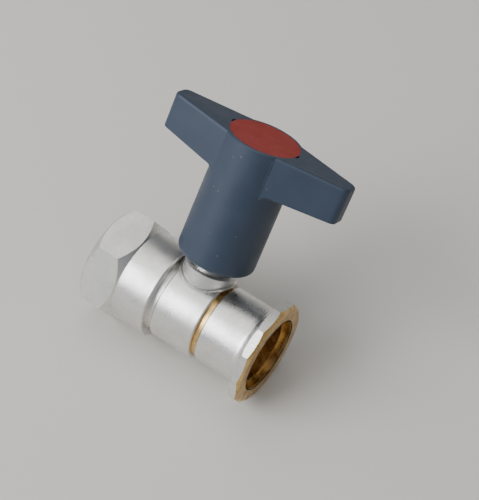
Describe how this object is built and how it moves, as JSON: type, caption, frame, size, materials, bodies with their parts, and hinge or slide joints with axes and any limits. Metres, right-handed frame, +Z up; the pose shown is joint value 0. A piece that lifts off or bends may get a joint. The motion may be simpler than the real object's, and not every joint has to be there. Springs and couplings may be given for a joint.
{
  "type": "pump ball valve",
  "caption": "Plated brass ball valve for a pump, with a hexagonal female thread end, a flange for a union nut, and a dark plastic T-handle with a red cap.",
  "frame": {"origin": "on the pipe axis, where the female thread starts inside its mouth bevel", "axes": "+X along the pipe from the female thread to the flange, +Z up with the valve lying on a flat of its hex and of its flange; the stem leans 30 degrees from +Z towards +Y"},
  "size_m": [0.0799, 0.0745, 0.0951],
  "materials": {
    "plated_brass": "satin nickel plating over brass, with bare brass machined faces",
    "bare_brass": "machined",
    "chromed_ball": "polished",
    "ptfe": "smooth",
    "rubber": "matt",
    "steel": "zinc plated",
    "handle_plastic": "fine moulded grain",
    "cap_plastic": "satin"
  },
  "bodies": {
    "valve": {"valve_body": "plated_brass", "flange_tailpiece": "plated_brass", "seat_ring_thread_side": "ptfe", "seat_ring_flange_side": "ptfe", "backing_ring_thread_side": "rubber", "backing_ring_flange_side": "rubber", "stem_packing": "ptfe", "gland": "bare_brass", "stop_pin": "steel"},
    "handle": {"t_handle": "handle_plastic", "stem": "bare_brass", "ball": "chromed_ball", "thrust_washer": "ptfe", "stem_ring_seal": "rubber", "handle_screw": "steel", "plain_washer": "steel", "spring_washer": "steel", "cap": "cap_plastic"}
  },
  "joints": [
    {"name": "handle_turn", "type": "hinge", "parent": "valve", "child": "handle", "pos_m": [0.0395, 0, 0], "axis": [0, -0.5, -0.866], "range_deg": [0, 90]}
  ]
}
